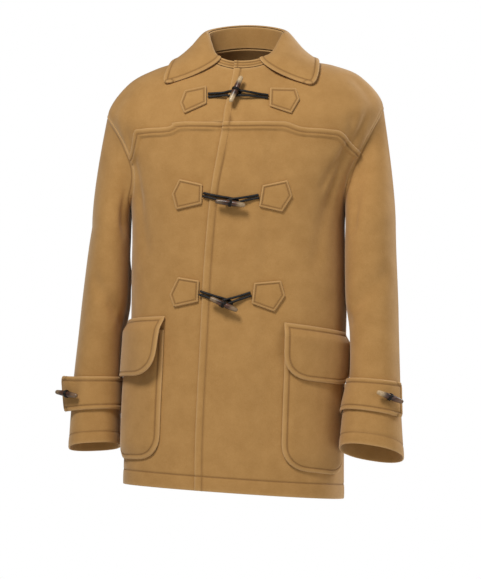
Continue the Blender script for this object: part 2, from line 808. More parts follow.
def band_place(angle, share, lift):
    """Place on the neckband: share 0 is at the neck seam, 1 at the roll of the collar."""
    seam, normal = body_place(angle, np.zeros(np.shape(angle)), lift)
    out = unit(normal * np.array([1, 1, 0]))
    turn = from_back(angle)
    rise = curve(ROLL, "turn", "rise", turn) * share + 2 * GAP
    lean = curve(ROLL, "turn", "lean", turn) * share + GAP
    up = np.array([0, 0, 1.0])
    return seam - out * lean[..., None] + up * rise[..., None], out


def build_neckband():
    first = front_angle(1, np.zeros(1), np.zeros(1), 60.0)[0]
    last = 360 + front_angle(-1, np.zeros(1), np.zeros(1), -60.0)[0]
    angle = mix(first, last, positions(480, (), 4.0))[None, :]
    share = positions(30, (4.0, 26.0), 2.0)[:, None]
    angle, share = np.broadcast_arrays(angle, share)
    lift = np.where(angle < 180, overlap_lift(angle, np.zeros(angle.shape)), 0.0)
    grid, normals = band_place(angle, share, lift)
    sewn = [("top", 4.0, 0.4, True), ("bottom", 4.0, 0.4, True), ("first", 6.0, 0.4, False)]
    obj = cloth("neckband_cloth", grid, normals, WALL, sewn)
    return wool_piece(obj, "neckband")


def hermite(a, b, leave, arrive, t):
    """Cubic curve from a to b that leaves along one direction and arrives along another."""
    t2, t3 = t * t, t * t * t
    ends = a * (2 * t3 - 3 * t2 + 1) + b * (3 * t2 - 2 * t3)
    return ends + leave * (t3 - 2 * t2 + t) + arrive * (t3 - t2)


CORNER_ROUND = 0.12  # share of the collar's depth that its front corners are rounded off


def build_collar():
    """Each line of the collar is a cubic curve from the roll to a place on the yoke. At the back it
    leaves the roll upward and turns over; at the front it leaves forward and down."""
    angle = mix(COLLAR_END["left"], 360 - COLLAR_END["right"], positions(560, (7.5, 552.5), 4.0))
    side = np.where(angle < 180, 1, -1)
    turn = from_back(angle)
    ends = np.where(side > 0, COLLAR_END["left"], COLLAR_END["right"])
    forward = np.clip((turn - 90) / (90 - ends), 0, 1)[:, None]
    turned = forward**3
    up = np.array([0, 0, 1.0])
    lift = np.where(side > 0, overlap_lift(angle, np.zeros(angle.shape)), 0.0)
    start, out = band_place(angle, np.ones(angle.shape), lift)
    start = start + out * mix(-COLLAR_SET, COLLAR_SET, turned) + up * mix(3, 6, turned) * GAP
    reach = {}
    for key in ("angle", "level"):
        left, right = (curve(COLLAR_REACH[name], "turn", key, turn) for name in ("left", "right"))
        reach[key] = np.where(side > 0, left, right)
    angle_out = side * reach["angle"]
    end, _ = body_place(angle_out, reach["level"], mix(7, 8, forward[:, 0]))
    span = np.linalg.norm(end - start, axis=1, keepdims=True)
    leave = unit(up * mix(1, -1.2, turned) + out * mix(0.9, 1.3, forward))
    leave = leave * span * mix(0.85, 0.7, forward)
    down = unit(ring_point(angle_out, reach["level"]) - ring_point(angle_out, reach["level"] - 0.2))
    chord = (end - start) / span + up * 0.5 * forward**4
    arrive = unit(mix(down, chord, 0.85 * forward**2)) * span * 0.8
    share = positions(105, (97.5,), 4.0)[:, None]
    corner = np.clip((forward[:, 0] - 0.84) / 0.16, 0, 1)
    share = share * (1 - CORNER_ROUND * (1 - np.sqrt(1 - corner**2)))
    grid = hermite(start, end, leave, arrive, share[..., None])
    near_roll = smooth(1 - share * 105 / 7)[..., None]
    facing = unit(out * (turned - 1) + up * turned)
    normals = unit(mix(grid_normals(grid), facing, near_roll))
    sewn = [(edge, STITCH_EDGE, 0.6, True) for edge in ("bottom", "first", "last")]
    obj = cloth("collar_cloth", grid, normals, DOUBLE_WALL, sewn)
    return wool_piece(obj, "collar")


# ---------------------------------------------------------------- sleeves and straps
def sleeve_section(side, turn, row):
    """Point of a sleeve below the armpit: turn 0 is its outer side, 90 its front."""
    rows = SLEEVE[side_name(side)]
    g = {name: along(rows, name, row) for name in rows}
    power = 2 / g["square"]
    out = signed_power(np.cos(np.radians(turn)), power)
    forward = signed_power(np.sin(np.radians(turn)), power)
    x = (g["inner"] + g["outer"]) / 2 + (g["outer"] - g["inner"]) / 2 * out
    x = x - side * np.maximum(g["nest"] * forward, 0) * (1 - out) / 2
    y = g["middle"] - g["depth"] * forward
    z = g["z"] + g["rise"] * forward - g["lean"] * out
    return np.stack(np.broadcast_arrays(x, y, z), -1)


def sleeve_start(side, turn):
    """Start of the sleeve on the armhole, its outward direction and the way it leaves."""
    def station(at):
        at = at % 360
        front = at <= 180
        share = np.where(front, at, 360 - at) / 180
        places = [armhole(side, share, face) for face in ("front", "back")]
        return np.where(front, places[0][0], places[1][0]), places[0][1]

    angle, level = station(turn)
    seam, normal = body_place(angle, level)
    seam_line = ring_point(*station(turn + 3)) - ring_point(*station(turn - 3))
    leave = unit(np.cross(normal, seam_line))
    middle = (TIP_LEVEL + UNDERARM_LEVEL) / 2
    outside = ring_point(side * 90.0, middle) - seam
    flip = np.sign((leave * outside).sum(-1, keepdims=True))
    return seam, normal, leave * flip


def sleeve_fold(side, turn, z):
    down = -100 - z
    mm_per_turn = 1.05
    total = np.zeros(np.broadcast(turn, z).shape)
    for fold in each(SLEEVE_FOLDS):
        if fold["side"] == side_name(side):
            a = (fold["fromTurn"] * mm_per_turn, fold["fromDown"])
            b = (fold["toTurn"] * mm_per_turn, fold["toDown"])
            total += fold_at(turn * mm_per_turn, down, fold, a, b)
    return total


def build_sleeve(side):
    name = f"sleeve_{side_name(side)}"
    turn = np.linspace(0, 360, 108, endpoint=False)[None, :]
    seam, facing, leave = sleeve_start(side, turn)
    start = seam + leave * (GAP + 0.1)
    to = sleeve_section(side, turn, np.zeros(turn.shape))
    span = np.linalg.norm(to - start, axis=-1, keepdims=True)
    under = ((1 - np.cos(np.radians(turn))) / 2)[..., None]
    leave = leave * span * mix(0.55, 0.3, under)
    arrive = np.array([0, 0, -1.0]) * span * mix(0.9, 1.3, under)
    cap = positions(170, (), 4.5)[:-1, None]
    cap_grid = hermite(start, to, leave, arrive, cap[..., None])
    low = positions(380, (360.0,), 4.5)[:, None]
    low_grid = sleeve_section(side, turn, low * (len(SLEEVE["left"]["z"]) - 1))
    grid = np.concatenate([cap_grid, low_grid])
    normals = grid_normals(grid, True) * (-1 if side > 0 else 1)
    fade = smooth((np.concatenate([cap, np.ones(low.shape)]) - 0.07) / 0.55)
    grid = grid + normals * (fade * sleeve_fold(side, turn, grid[..., 2]))[..., None]
    normals = grid_normals(grid, True) * (-1 if side > 0 else 1)
    near = smooth(1 - np.arange(len(grid)) / 8)[:, None, None]
    normals = unit(mix(normals, facing, near))
    sewn = [("top", 6.0, 0.5, False), ("bottom", 20.0, 0.5, True)]
    obj = cloth(f"{name}_cloth", grid, normals, WALL, sewn, tube=True)
    return wool_piece(obj, name)


def sleeve_place(side, turn, row, lift):
    across = sleeve_section(side, turn + 2, row) - sleeve_section(side, turn - 2, row)
    down = sleeve_section(side, turn, row + 0.05) - sleeve_section(side, turn, row - 0.05)
    normal = unit(np.cross(across, down)) * side
    return sleeve_section(side, turn, row) + normal * np.asarray(lift)[..., None], normal


def strap_lift(row, turn, down):
    """A strap lies on the sleeve and its loose end stands off."""
    loose = smooth((50 - turn) / (50 - row["endTurn"]))
    return REST + 0.4 + DOUBLE_WALL + loose * mix(row["flareTop"], row["flareBottom"], down)


def build_strap(row):
    side = 1 if row["side"] == "left" else -1
    name = f"cuff_strap_{row['side']}"
    down = positions(56, (STITCH_EDGE, 56 - STITCH_EDGE), 3.0)[:, None]
    share = positions(185, (185 - STITCH_EDGE,), 3.5)[None, :]
    corner = np.clip((np.abs(down - 0.5) * 56 - 19) / 9, 0, 1)
    share = share * (1 - 9 / 185 * (1 - np.sqrt(1 - corner**2)))
    turn = mix(row["seamTurn"], row["endTurn"], share)
    turn, level = np.broadcast_arrays(turn, mix(row["topRow"], row["bottomRow"], down))
    grid, _ = sleeve_place(side, turn, level, strap_lift(row, turn, down))
    normals = grid_normals(grid)
    _, facing = sleeve_place(side, turn, level, np.zeros(turn.shape))
    normals = normals * np.sign((normals * facing).sum(-1).mean())
    sewn = [(edge, STITCH_EDGE, 0.6, True) for edge in ("top", "bottom", "last")]
    obj = cloth(f"{name}_cloth", grid, normals, DOUBLE_WALL, sewn)
    return wool_piece(obj, name)


# ---------------------------------------------------------------- tabs, pockets and flaps
def rounded(corners, radii, inset, per_side, per_corner):
    """Closed outline of a polygon moved in by inset, with its corners rounded.

    Each side is moved along its inward direction, neighbours are cut where they cross, and a
    quadratic curve joins the sides at each corner.
    """
    corners = np.asarray(corners, float)
    after = np.roll(corners, -1, axis=0)
    area = (corners[:, 0] * after[:, 1] - corners[:, 1] * after[:, 0]).sum()
    ahead = unit(after - corners)
    inward = np.stack([-ahead[:, 1], ahead[:, 0]], 1) * np.sign(area)
    before_ahead, before_in = np.roll(ahead, 1, axis=0), np.roll(inward, 1, axis=0)
    cosine = (before_in * inward).sum(1, keepdims=True)
    moved = corners + (before_in + inward) * inset / (1 + cosine)
    cut = np.asarray(radii, float)[:, None] - inset
    cut = np.maximum(cut, 0.6) * np.sqrt((1 - cosine) / (1 + cosine))
    sides = np.linalg.norm(np.roll(moved, -1, axis=0) - moved, axis=1, keepdims=True)
    cut = np.minimum(cut, 0.45 * np.minimum(sides, np.roll(sides, 1, axis=0)))
    enter, leave = moved - before_ahead * cut, moved + ahead * cut
    t = np.linspace(0, 1, per_corner)[None, :, None]
    bends = enter[:, None] * (1 - t) ** 2 + moved[:, None] * 2 * t * (1 - t) + leave[:, None] * t**2
    s = np.linspace(0, 1, per_side + 2)[None, 1:-1, None]
    runs = mix(leave[:, None], np.roll(enter, -1, axis=0)[:, None], s)
    return np.concatenate([bends, runs], 1).reshape(-1, 2)


def closing(ring, pole):
    """Triangles from a closed ring of vertices to one in its middle."""
    return np.stack([ring, np.roll(ring, -1), np.full(len(ring), pole)], 1)


def patch(name, corners, radii, place, thickness, per_side, shrink, at=STITCH_EDGE):
    """Closed cloth wall with a rounded outline, laid on the coat by place(x, y) -> point, normal.

    Rings of points follow the outline inward, then shrink to the middle. The edge is rounded
    and the stitch line, at a distance from the edge, sinks in as in cloth().
    """
    insets = np.array([0, 0.3, 0.8, 1.5, *(at + np.array([-2.2, -1.2, -0.6, 0, 0.6, 1.2, 2.2, 4]))])
    rings = [rounded(corners, radii, inset, per_side, 9) for inset in insets]
    middle = rings[-1].mean(0)
    rings += [mix(middle, rings[-1], share) for share in shrink]
    flat = np.stack(rings)
    count, around = flat.shape[:2]
    depth = np.concatenate([insets, np.full(len(shrink), 60.0)])[:, None] * np.ones((1, around))
    point, normal = place(flat[..., 0], flat[..., 1])
    drop = edge_drop(depth, thickness)
    raised, groove = relief(depth, at, 0.6)
    outer = point + normal * (raised - drop)[..., None]
    inner = point + normal * (drop - thickness)[..., None]
    top, top_normal = place(middle[:1], middle[1:])
    under = top - top_normal * thickness
    points = np.concatenate([outer.reshape(-1, 3), inner[1:].reshape(-1, 3), top, under])
    ids = np.arange(count * around).reshape(count, around)
    back = np.concatenate([ids[:1], ids[1:] - around + count * around])
    faces = grid_faces(count, around, True)
    fan = closing(ids[-1][::-1], len(points) - 2)
    back_fan = closing(back[-1], len(points) - 1)
    quads = np.concatenate([faces, back.ravel()[faces][:, ::-1]])
    obj = new_mesh(name, points, quads, np.concatenate([fan, back_fan]))
    rim = np.exp(-depth / 1.8)
    mark(obj, "rim", np.concatenate([rim.ravel(), rim[1:].ravel(), [0, 0]]))
    mark(obj, "seam", np.concatenate([groove.ravel(), 0 * rim[1:].ravel(), [0, 0]]))
    line, facing = (rows[np.flatnonzero(insets == at)[0]] for rows in (outer, normal))
    stitch_line(np.concatenate([line, line[:1]]), np.concatenate([facing, facing[:1]]))
    return obj


def build_tab(row):
    corners = [(row[f"x{i}"], row[f"z{i}"]) for i in range(1, 6)]
    left = np.mean([x for x, _ in corners]) > 0

    def place(x, z):
        angle, level = on_front(x, z)
        over = overlap_lift(angle, level) if left else 0.0
        return body_place(angle, level, over + REST + DOUBLE_WALL)

    shrink = (0.8, 0.6, 0.4, 0.2)
    obj = patch(f"{row['name']}_cloth", corners, [2, 2, 3, 4, 3], place, DOUBLE_WALL, 12, shrink, 4.2)
    return wool_piece(obj, row["name"])


def patch_width(inner, spec, top):
    level = level_at(0.0, float(top))
    return float((spec["outer"] - angle_across(float(inner), level)) * PATCH_MM_PER_DEGREE)


def patch_place(side, inner, spec, top, bottom, width, lift):
    """Places of a pocket or flap from millimetres across and down its flat cut."""
    def place(x, y):
        share, down = x / width, y / (top - bottom)
        base = top - y
        angle_from = np.abs(angle_across(float(inner), level_at(0.0, base)))
        level = level_at(0.0, base - spec["drop"] * share * (1 - 0.4 * down))
        angle = side * mix(angle_from, spec["outer"], share)
        return body_place(angle, level, lift(share, down))
    return place


def build_pocket(side):
    name = f"pocket_{side_name(side)}"
    inner = POCKET_INNER[side_name(side)]
    top, bottom = POCKET["top"], POCKET["bottom"]
    width, height = patch_width(inner, POCKET, top), top - bottom

    def lift(share, down):
        across = smooth(share / 0.12) * smooth((1 - share) / 0.12)
        return REST + WALL + POCKET["proud"] * across * smooth((1 - down) / 0.12)

    place = patch_place(side, inner, POCKET, top, bottom, width, lift)
    corners = [(0, 0), (width, 0), (width, height), (0, height)]
    radii = [1.5, 1.5, POCKET["corner"], POCKET["corner"]]
    obj = patch(f"{name}_cloth", corners, radii, place, WALL, 60, np.linspace(0.93, 0.07, 14))
    return wool_piece(obj, name)


def build_flap(side):
    name = f"pocket_flap_{side_name(side)}"
    spec = {"drop": FLAP["drop"], "outer": POCKET["outer"] + 0.8}
    width = patch_width(POCKET_INNER[side_name(side)] - FLAP["widen"], spec, FLAP["top"])

    def lift(share, down):
        open_by = FLAP_OPEN[side_name(side)] * down * (2 - down) * (1 - share) ** 2
        return REST + DOUBLE_WALL + FLAP["proud"] * smooth(down / FLAP["hinge"]) + open_by

    inner = POCKET_INNER[side_name(side)] - FLAP["widen"]
    height = FLAP_HEIGHT[side_name(side)]
    place = patch_place(side, inner, spec, FLAP["top"], FLAP["top"] - height, width, lift)
    corners = [(0, 0), (width, 0), (width, height), (0, height)]
    radii = [2, 2, *FLAP_CORNER[side_name(side)]]
    obj = patch(f"{name}_cloth", corners, radii, place, DOUBLE_WALL, 40, np.linspace(0.9, 0.1, 9))
    return wool_piece(obj, name)


# ---------------------------------------------------------------- cords, toggles and stitches
def spline(points, count):
    """Smooth curve through points, at equal distances along it (centripetal Catmull-Rom)."""
    p = np.asarray(points, float)
    p = np.concatenate([[2 * p[0] - p[1]], p, [2 * p[-1] - p[-2]]])
    knots = np.concatenate([[0], np.cumsum(np.linalg.norm(np.diff(p, axis=0), axis=1) ** 0.5)])
    fine = np.linspace(knots[1], knots[-2], 40 * len(p))
    i = np.clip(np.searchsorted(knots, fine, side="right") - 1, 1, len(p) - 3)
    t = fine[:, None]
    k = [knots[i + j][:, None] for j in (-1, 0, 1, 2)]
    q = [p[i + j] for j in (-1, 0, 1, 2)]

    def blend(a, b, low, high):
        return ((high - t) * a + (t - low) * b) / (high - low)

    one = [blend(q[j], q[j + 1], k[j], k[j + 1]) for j in range(3)]
    two = [blend(one[j], one[j + 1], k[j], k[j + 2]) for j in range(2)]
    line = blend(two[0], two[1], k[1], k[2])
    at = np.concatenate([[0], np.cumsum(np.linalg.norm(np.diff(line, axis=0), axis=1))])
    where = np.linspace(0, at[-1], count)
    return np.stack([np.interp(where, at, line[:, axis]) for axis in range(3)], 1)


def twisted_cord(name, path, radius, up, sides=18, lay=9.0):
    """Cord of three strands: a tube whose radius rises and falls three times round and turns
    once every lay millimetres along it. Its ends close in to a point."""
    ahead = unit(np.gradient(path, axis=0))
    aside = unit(np.cross(ahead, np.broadcast_to(np.asarray(up, float), path.shape)))
    above = np.cross(aside, ahead)
    length = np.concatenate([[0], np.cumsum(np.linalg.norm(np.diff(path, axis=0), axis=1))])
    theta = np.linspace(0, 2 * np.pi, sides, endpoint=False)[None, :]
    wave = np.abs(np.cos(1.5 * theta - np.pi * length[:, None] * 3 / lay))
    size = radius * (0.98 + 0.14 * wave)
    ring = np.cos(theta)[..., None] * aside[:, None] + np.sin(theta)[..., None] * above[:, None]
    grid = path[:, None] + ring * size[..., None]
    rows = len(path)
    points = np.concatenate([grid.reshape(-1, 3), path[:1], path[-1:]])
    ids = np.arange(rows * sides).reshape(rows, sides)
    caps = [closing(ids[0], rows * sides), closing(ids[-1][::-1], rows * sides + 1)]
    obj = new_mesh(name, points, grid_faces(rows, sides, True), np.concatenate(caps))
    return finish_piece(obj, "Leather cord")


def over_front(x, z, lift):
    """Place over the front at (x, z), lifted off the cloth that lies there."""
    angle, level = on_front(np.asarray(x, float), np.asarray(z, float))
    across = x - ring_point(0.0, level)[..., 0]
    edge = curve(FRONT_EDGE, "z", "across", z)
    over = np.where(across > edge - 8, overlap_lift(np.maximum(angle, 0), level), 0.0)
    return body_place(angle, level, over + lift)[0]


def build_loop(row):
    """Loop of cord: two strands from a tab to the toggle, joined there by a bend."""
    reach = np.array([row["toX"] - row["fromX"], row["toZ"] - row["fromZ"]])
    ahead = unit(reach)
    aside = np.array([-ahead[1], ahead[0]])
    narrow = mix(row["width"], 2 * row["tip"] - CORD / 2, 0.5) / 2
    steps = [(0, row["width"] / 2, LOOP_START, CORD_REST), (0.25, row["width"] / 2, 0, CORD_REST),
             (0.55, narrow, 0, mix(CORD_REST, row["lift"], 0.75)), (0.8, row["tip"] - 0.6, 0, row["lift"]),
             (1, row["tip"] - 1.4, 2.4, row["lift"])]
    route = [(share, offset, past, lift) for share, offset, past, lift in steps]
    route += [(1, 0, 4.6, row["lift"])] + [(s, -o, p, h) for s, o, p, h in reversed(steps)]
    start = np.array([row["fromX"], row["fromZ"]])
    flat = np.array([start + reach * s + aside * o + ahead * p for s, o, p, _ in route])
    points = over_front(flat[:, 0], flat[:, 1], np.array([step[3] for step in route]))
    obj = twisted_cord(f"{row['name']}_twist", spline(points, 190), CORD / 2, (0, -1, 0))
    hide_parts(row["name"])
    return obj


TOGGLE_PROFILE = table("""
    radius  fromEnd
    0.05    0
    1.5     0.12
    2.6     0.6
    3.4     1.6
    3.9     3
    4.4     9
    4.9     16
    5.2     21
    5.2     26""")


def build_toggle(node, low, high, pale_from, pale_to, wraps=2):
    """Horn toggle: a lathe form that is a little uneven round its length, and the cord wound
    round its middle."""
    axis = unit(high - low)
    middle = (low + high) / 2
    half = TOGGLE_LENGTH / 2
    s = np.concatenate([np.linspace(0, 1.2, 7), np.linspace(2, half, 22)])
    s = np.concatenate([s, (TOGGLE_LENGTH - s)[-2::-1]])
    ends = np.minimum(s, TOGGLE_LENGTH - s)
    radius = np.interp(ends, TOGGLE_PROFILE["fromEnd"], TOGGLE_PROFILE["radius"])
    theta = np.linspace(0, 2 * np.pi, 28, endpoint=False)[None, :]
    flat = 1 + 0.035 * np.cos(2 * theta + 0.6) + 0.02 * np.cos(3 * theta + s[:, None] / 9)
    waist = 1 - 0.1 * np.exp(-(((s - half) / 4.5) ** 2))
    size = (radius * waist)[:, None] * flat
    first = unit(np.cross(axis, np.array([0.1, 0.2, 1.0])))
    second = np.cross(axis, first)
    ring = np.cos(theta)[..., None] * first + np.sin(theta)[..., None] * second
    grid = (middle + np.outer(s - half, axis))[:, None] + ring * size[..., None]
    rows, sides = grid.shape[:2]
    points = np.concatenate([grid.reshape(-1, 3), low[None], high[None]])
    ids = np.arange(rows * sides).reshape(rows, sides)
    caps = [closing(ids[0], rows * sides), closing(ids[-1][::-1], rows * sides + 1)]
    obj = new_mesh(f"{node}_horn", points, grid_faces(rows, sides, True), np.concatenate(caps))
    where = (s - half) / half
    pale = pale_from * smooth((-where - 0.3) / 0.45) + pale_to * smooth((where - 0.3) / 0.45)
    mark(obj, "pale", np.concatenate([np.repeat(pale, sides), [pale[0], pale[-1]]]))
    mark(obj, "grain", np.concatenate([np.repeat(where, sides), [-1, 1]]))
    finish_piece(obj, "Polished horn", [node])
    turn = np.linspace(0, 2 * np.pi * wraps, 60 * wraps)
    pitch = 2.3
    offset = (turn / (2 * np.pi) - wraps / 2) * pitch
    out = np.cos(turn)[:, None] * first + np.sin(turn)[:, None] * second
    path = middle + np.outer(offset, axis) + out * (TOGGLE_RADIUS * 0.95 + 0.7)
    twisted_cord(f"{node}_binding", path, 1.1, axis, sides=10, lay=6.0)
    return obj


def cuff_toggle_places(row):
    """Middle of a cuff toggle, half of its reach, and the tie below it."""
    side = 1 if row["side"] == "left" else -1
    strap = next(other for other in each(STRAPS) if other["side"] == row["side"])

    def over(turn, lift):
        raised = strap_lift(strap, turn, 0.5) + lift
        return sleeve_place(side, np.float64(turn), np.float64(row["row"]), raised)[0]

    middle = over(row["turn"], TIE + TOGGLE_RADIUS)
    ahead = (over(row["turn"] - 12, 0) - over(row["turn"] + 12, 0)) * np.array([1, 1, 0])
    ahead = unit(ahead) + np.array([0, 0, math.tan(math.radians(row["tilt"]))])
    reach = unit(ahead) * TOGGLE_LENGTH / 2
    tie = (over(row["turn"], 2 * GAP), over(row["turn"], TIE - 2 * GAP))
    return middle, reach, tie


def build_tie(row):
    """Short cord that holds a cuff toggle on its strap."""
    _, _, (foot, top) = cuff_toggle_places(row)
    path = mix(foot, top, np.linspace(0, 1, 12)[:, None])
    obj = twisted_cord(f"cuff_cord_{row['side']}_twist", path, CORD / 2, (0.1, 0.1, 1))
    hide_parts(f"cuff_cord_{row['side']}")


def build_stitches():
    """All the top stitching in one piece: short spindles of thread along the sewn lines, half
    sunk in the cloth."""
    trim = bpy.context.scene.duffle_trim
    length, pitch, thick = trim.stitch / MM, trim.pitch / MM, 0.5
    centres, aheads, ups = [], [], []
    for points, normals in STITCHES:
        gaps = np.linalg.norm(np.diff(points, axis=0), axis=1)
        at = np.concatenate([[0], np.cumsum(gaps)])
        where = np.arange(pitch / 2, at[-1], pitch)
        sample = [np.stack([np.interp(w, at, points[:, k]) for k in range(3)], 1)
                  for w in (where, where + 0.8, where - 0.8)]
        facing = np.stack([np.interp(where, at, normals[:, k]) for k in range(3)], 1)
        centres.append(sample[0])
        aheads.append(unit(sample[1] - sample[2]))
        ups.append(unit(facing))
    centre, ahead, up = (np.concatenate(part) for part in (centres, aheads, ups))
    aside = unit(np.cross(ahead, up))
    rings = table("""
        at     size
        -0.5   0.25
        -0.3   0.85
        0      1
        0.3    0.85
        0.5    0.25""")
    theta = np.radians(np.arange(0, 360, 60))
    local = np.stack([
        np.repeat(rings["at"], 6) * length,
        (rings["size"][:, None] * np.cos(theta)).ravel() * thick,
        (rings["size"][:, None] * np.sin(theta)).ravel() * thick + 0.05], 1)
    basis = np.stack([ahead, aside, up], 1)
    points = centre[:, None] + np.einsum("vk,nkj->nvj", local, basis)
    one = grid_faces(5, 6, True)
    caps = np.array([[0, 1, 2, 3], [0, 3, 4, 5], [27, 26, 25, 24], [29, 28, 27, 24]])
    faces = np.concatenate([one, caps])
    shift = (np.arange(len(centre)) * 30)[:, None, None]
    obj = new_mesh("top_stitching", points.reshape(-1, 3), (faces[None] + shift).reshape(-1, 4))
    return finish_piece(obj, "Cotton thread")


# ---------------------------------------------------------------- finishes
def linear(colour):
    """Linear red, green and blue of an sRGB hex colour."""
    value = np.array([int(colour[i:i + 2], 16) for i in (1, 3, 5)]) / 255
    value = np.where(value <= 0.04045, value / 12.92, ((value + 0.055) / 1.055) ** 2.4)
    return tuple(float(part) for part in value)


def add(tree, kind, inputs=None, **settings):
    """Adds a node with its settings, and links or fills its inputs."""
    node = tree.nodes.new(kind)
    for name, value in settings.items():
        setattr(node, name, value)
    for key, value in (inputs or {}).items():
        if isinstance(value, bpy.types.NodeSocket):
            tree.links.new(value, node.inputs[key])
        else:
            node.inputs[key].default_value = value
    return node


def start_material(name):
    material = bpy.data.materials.new(name)
    material.use_nodes = True
    tree = material.node_tree
    tree.nodes.clear()
    return tree, add(tree, "ShaderNodeTexCoord").outputs["Object"]


def noise(tree, place, millimetres, detail=2.0, rough=0.5):
    """Noise whose patches are about so many millimetres across."""
    inputs = {"Vector": place, "Scale": 1 / (millimetres * MM), "Detail": detail, "Roughness": rough}
    return add(tree, "ShaderNodeTexNoise", inputs).outputs["Fac"]


def between(tree, low, high, value):
    """Value taken from 0 to 1 as it goes from low to high."""
    inputs = {"Value": value, "From Min": low, "From Max": high}
    return add(tree, "ShaderNodeMapRange", inputs).outputs[0]


def times(tree, a, b, kind="MULTIPLY"):
    return add(tree, "ShaderNodeMath", {0: a, 1: b}, operation=kind).outputs[0]


def blend(tree, share, a, b):
    """Colour a turned to colour b by a share."""
    a, b = ((*c, 1.0) if isinstance(c, tuple) else c for c in (a, b))
    return add(tree, "ShaderNodeMix", {0: share, 6: a, 7: b}, data_type="RGBA").outputs[2]


def attribute(tree, name):
    return add(tree, "ShaderNodeAttribute", attribute_name=name).outputs["Fac"]


def end_material(tree, inputs, height, strength, millimetres):
    bump = {"Height": height, "Strength": strength, "Distance": millimetres * MM}
    inputs["Normal"] = add(tree, "ShaderNodeBump", bump).outputs[0]
    shader = add(tree, "ShaderNodeBsdfPrincipled", inputs)
    add(tree, "ShaderNodeOutputMaterial", {"Surface": shader.outputs[0]})


def felted_wool(name):
    """Felted wool melton, fulled and brushed until the weave is gone.

    It is matt with a soft sheen at glancing angles, mottled where the nap lies differently,
    with fibres of about a millimetre. Cut edges catch more light and sewn lines less.
    """
    looks = bpy.context.scene.duffle_cloth
    tree, place = start_material(name)
    fibre = noise(tree, place, looks.fibre / MM, 4.0, 0.65)
    nap = noise(tree, place, 6.0, 3.0, 0.6)
    mottle = noise(tree, place, looks.mottle / MM, 3.0, 0.55)
    colour = blend(tree, between(tree, 0.15, 0.8, mottle), tuple(looks.shade), tuple(looks.wool))
    colour = blend(tree, times(tree, between(tree, 0.35, 0.75, fibre), 0.26), colour, tuple(looks.bright))
    colour = blend(tree, times(tree, between(tree, 0.5, 0.25, nap), 0.2), colour, tuple(looks.shade))
    colour = blend(tree, times(tree, attribute(tree, "rim"), 0.65), colour, tuple(looks.bright))
    colour = blend(tree, times(tree, attribute(tree, "seam"), 0.6), colour, tuple(looks.seam))
    inputs = {"Base Color": colour, "Roughness": 0.93, "Sheen Weight": 0.35, "Sheen Roughness": 0.45,
              "Sheen Tint": (1.0, 0.86, 0.68, 1.0), "Specular IOR Level": 0.25}
    height = times(tree, fibre, times(tree, nap, 0.8), "ADD")
    end_material(tree, inputs, height, 0.5, 0.5)


def leather_cord(name):
    """Round leather cord, dyed through and waxed: near black, with a low gloss that breaks up
    over its grain of about half a millimetre."""
    trim = bpy.context.scene.duffle_trim
    tree, place = start_material(name)
    grain = noise(tree, place, 0.8, 3.0, 0.6)
    colour = blend(tree, between(tree, 0.35, 0.75, grain), tuple(trim.cord), linear("#1E1814"))
    inputs = {"Base Color": colour, "Roughness": 0.55, "Specular IOR Level": 0.35}
    end_material(tree, inputs, grain, 0.35, 0.25)


def polished_horn(name):
    """Horn, sawn and polished: brown streaks along its length, paler and thinner at the tips,
    with a clear gloss."""
    trim = bpy.context.scene.duffle_trim
    tree, place = start_material(name)
    turned = add(tree, "ShaderNodeMapping", {"Vector": place, "Scale": (0.25, 1.0, 1.0)}).outputs[0]
    streak = noise(tree, turned, 5.0, 4.0, 0.6)
    fine = noise(tree, turned, 1.2, 3.0, 0.6)
    colour = blend(tree, between(tree, 0.38, 0.62, streak), tuple(trim.horn_dark), tuple(trim.horn))
    tip = times(tree, attribute(tree, "pale"), times(tree, between(tree, 0.2, 0.6, fine), 0.35, "ADD"))
    colour = blend(tree, add(tree, "ShaderNodeClamp", {0: tip}).outputs[0], colour, tuple(trim.horn_pale))
    inputs = {"Base Color": colour, "Roughness": 0.38, "IOR": 1.5, "Coat Weight": 0.12, "Coat Roughness": 0.2}
    end_material(tree, inputs, fine, 0.12, 0.2)


def sewing_thread(name):
    """Twisted cotton thread a shade deeper than the wool, with a faint gloss. Its twist is drawn
    at 0.6 mm, coarser than the real one, so that it shows."""
    trim = bpy.context.scene.duffle_trim
    tree, place = start_material(name)
    twist = noise(tree, place, 0.6, 2.0, 0.5)
    colour = blend(tree, times(tree, twist, 0.4), tuple(trim.thread), linear("#5E4424"))
    end_material(tree, {"Base Color": colour, "Roughness": 0.7}, twist, 0.3, 0.15)


MATERIALS = {
    "Felted wool": felted_wool,
    "Leather cord": leather_cord,
    "Polished horn": polished_horn,
    "Cotton thread": sewing_thread,
}


# ---------------------------------------------------------------- settings
def colour_setting(name, description, colour):
    return FloatVectorProperty(name=name, description=description, subtype="COLOR", size=3,
                               min=0, max=1, default=linear(colour))


def length_setting(name, description, millimetres):
    return FloatProperty(name=name, description=description, default=millimetres * MM,
                         min=0, unit="LENGTH", precision=4)


class DuffleCloth(bpy.types.PropertyGroup):
    """Sizes and colours of the wool."""

    wool: colour_setting("Wool", "Main colour of the wool", "#B4884F")
    shade: colour_setting("Shaded nap", "Colour where the nap lies away from the light", "#A1763F")
    bright: colour_setting("Bright fibres", "Colour of loose fibres and cut edges", "#D2AB76")
    seam: colour_setting("Sewn lines", "Colour down in the sewn lines", "#6E4B25")
    fibre: length_setting("Fibre size", "Width of the tufts of fibre", 1.3)
    mottle: length_setting("Mottling", "Width of the lighter and darker places", 28)


